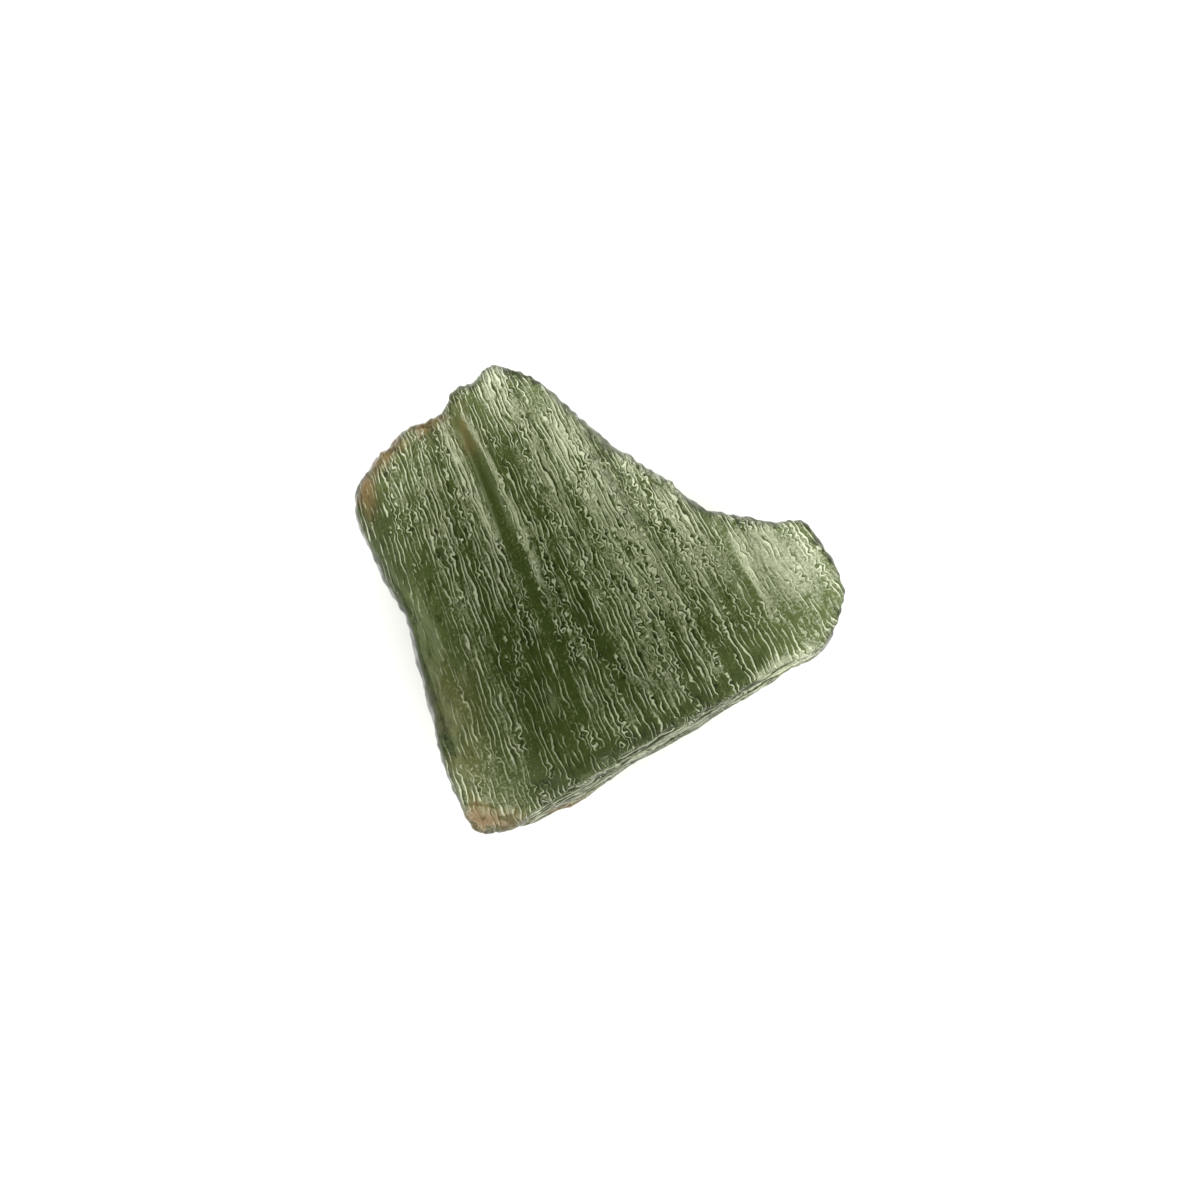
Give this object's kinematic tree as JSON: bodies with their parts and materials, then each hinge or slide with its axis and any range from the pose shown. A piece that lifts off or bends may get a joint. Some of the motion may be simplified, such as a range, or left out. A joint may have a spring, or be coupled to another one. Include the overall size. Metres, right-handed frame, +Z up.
{
  "type": "moldavite",
  "caption": "Flat natural shard of bottle-green tektite glass, fan shaped, with etched ridges along its flow and a small flat spot to rest on.",
  "frame": {"origin": "centre of the stone's box, on the surface that it rests on", "axes": "+Z up, through the thickness; +X towards the narrow right lobe; +Y towards the peak"},
  "size_m": [0.0246, 0.0234, 0.0057],
  "materials": {
    "moldavite_glass": "lustrous, etched in fine ridges and pits; bottle green, darker where it is thick, with brown on part of the rim"
  },
  "bodies": {
    "root": {"moldavite": "moldavite_glass"}
  },
  "joints": []
}
